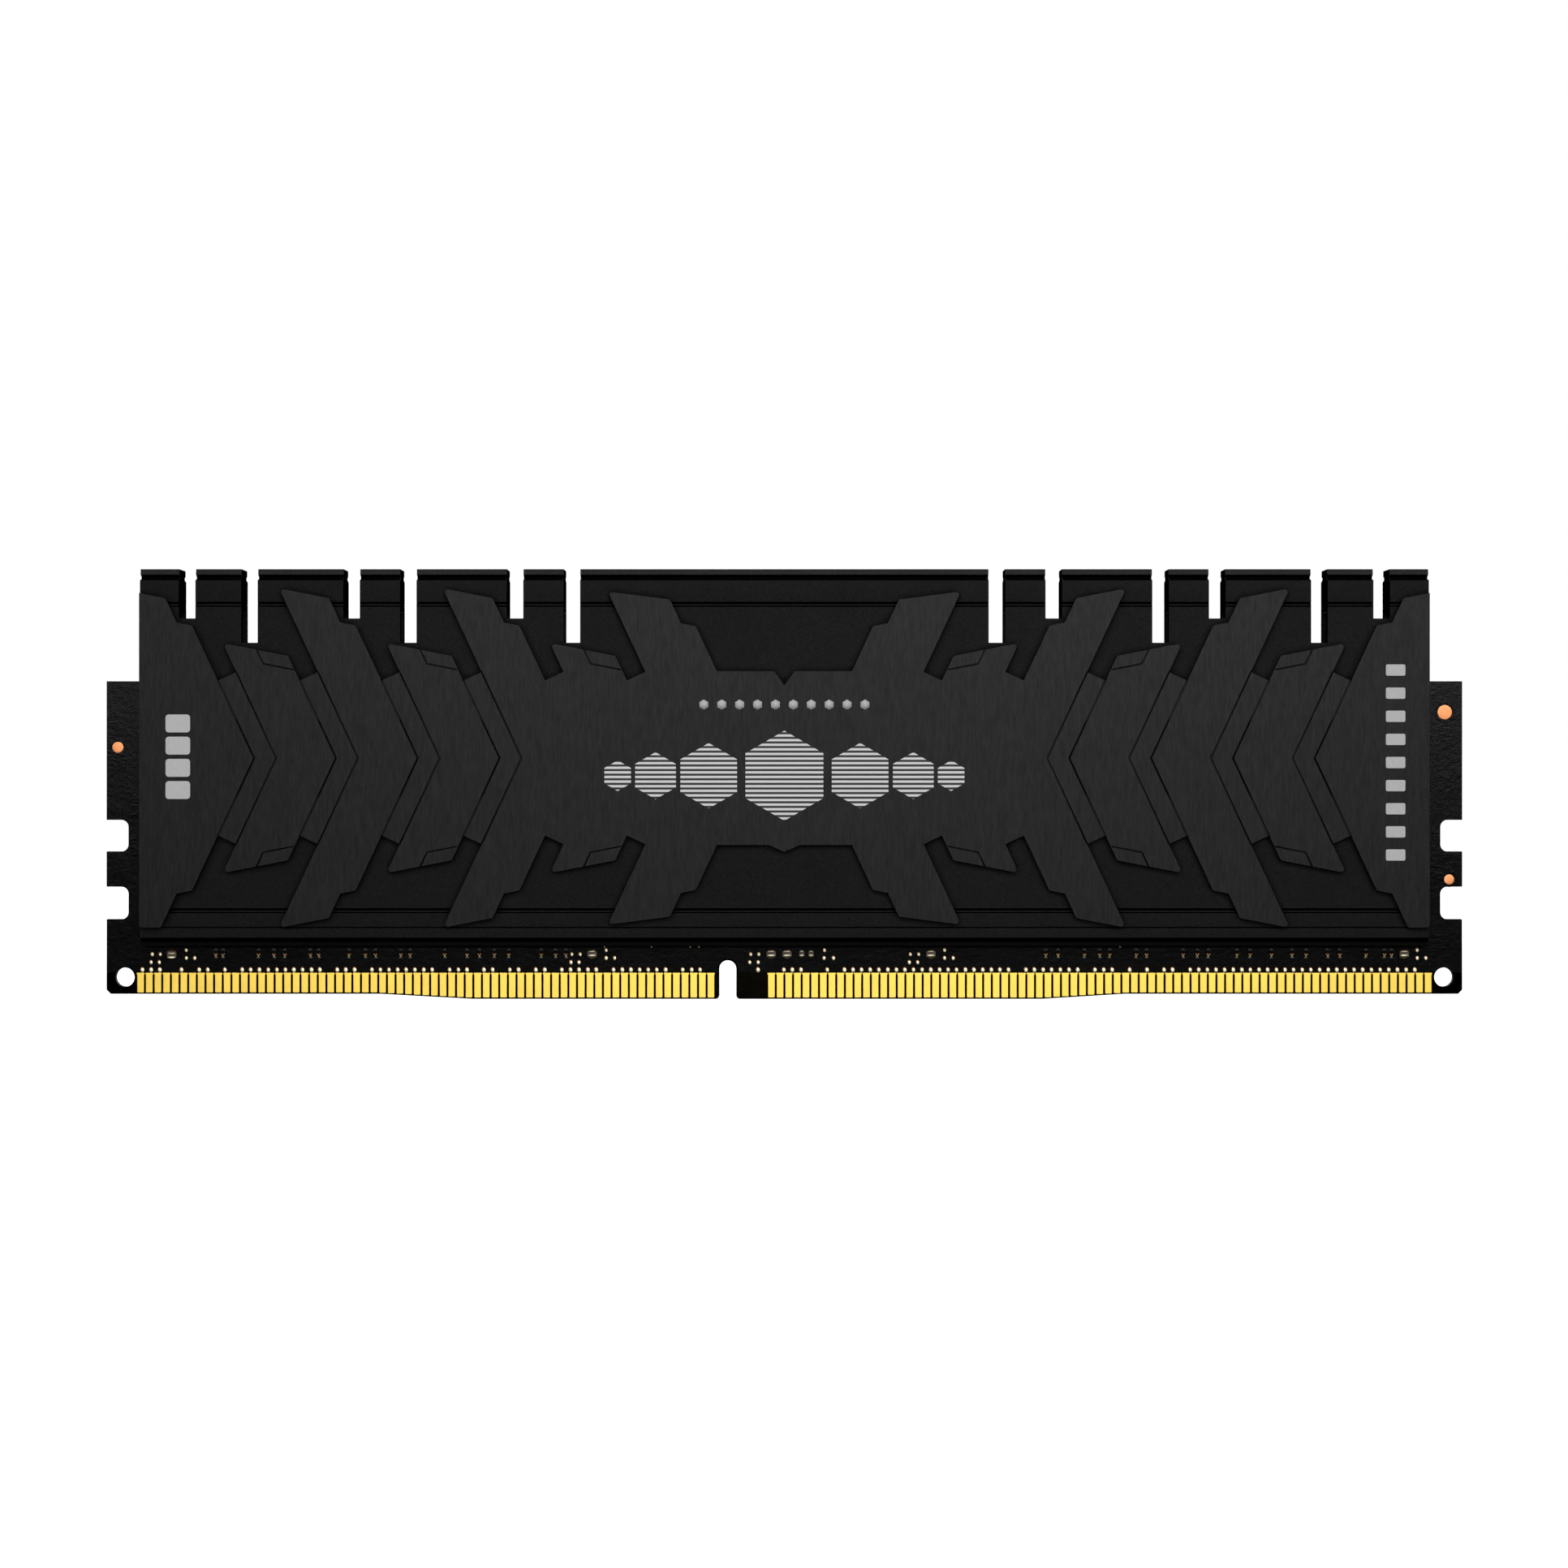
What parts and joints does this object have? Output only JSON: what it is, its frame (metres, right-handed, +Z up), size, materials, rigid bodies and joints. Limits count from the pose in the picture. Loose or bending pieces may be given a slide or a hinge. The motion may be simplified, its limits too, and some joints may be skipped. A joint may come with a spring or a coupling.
{
  "type": "desktop memory module",
  "caption": "Desktop memory module: black circuit board with gold edge contacts in a slotted black aluminium heat spreader with brushed chevron cover plates.",
  "frame": {"origin": "middle of the board's bottom edge, where it stands in its socket: on the edge, halfway along and halfway through the thickness", "axes": "+X along the board, +Y through its thickness from the front face to the rear, +Z up from the socket edge to the fins"},
  "size_m": [0.1334, 0.0083, 0.0422],
  "materials": {
    "board_mask": "satin black solder mask over glass epoxy",
    "contact_gold": "hard gold plating, satin",
    "chip_plastic": "moulded epoxy, matte",
    "thermal_pad": "filled silicone tape, matte",
    "capacitor_ceramic": "sintered ceramic with tinned ends",
    "blasted_aluminium": "bead-blasted and anodised black",
    "brushed_aluminium": "vertically brushed and anodised black",
    "label_stock": "blank silver-white polyester sticker"
  },
  "bodies": {
    "root": {"circuit_board": "board_mask", "contacts_front_left": "contact_gold", "contacts_front_right": "contact_gold", "contacts_rear_left": "contact_gold", "contacts_rear_right": "contact_gold", "memory_chip_front_1": "chip_plastic", "memory_chip_front_2": "chip_plastic", "memory_chip_front_3": "chip_plastic", "memory_chip_front_4": "chip_plastic", "memory_chip_front_5": "chip_plastic", "memory_chip_front_6": "chip_plastic", "memory_chip_front_7": "chip_plastic", "memory_chip_front_8": "chip_plastic", "memory_chip_rear_1": "chip_plastic", "memory_chip_rear_2": "chip_plastic", "memory_chip_rear_3": "chip_plastic", "memory_chip_rear_4": "chip_plastic", "memory_chip_rear_5": "chip_plastic", "memory_chip_rear_6": "chip_plastic", "memory_chip_rear_7": "chip_plastic", "memory_chip_rear_8": "chip_plastic", "spd_eeprom": "chip_plastic", "capacitor_1": "capacitor_ceramic", "capacitor_2": "capacitor_ceramic", "capacitor_3": "capacitor_ceramic", "capacitor_4": "capacitor_ceramic", "capacitor_5": "capacitor_ceramic", "capacitor_6": "capacitor_ceramic", "capacitor_7": "capacitor_ceramic", "capacitor_8": "capacitor_ceramic", "front_thermal_tape": "thermal_pad", "rear_thermal_tape": "thermal_pad", "front_heat_spreader": "blasted_aluminium", "rear_heat_spreader": "blasted_aluminium", "front_cover_plate": "brushed_aluminium", "rear_cover_plate": "brushed_aluminium", "rear_label": "label_stock"}
  },
  "joints": []
}
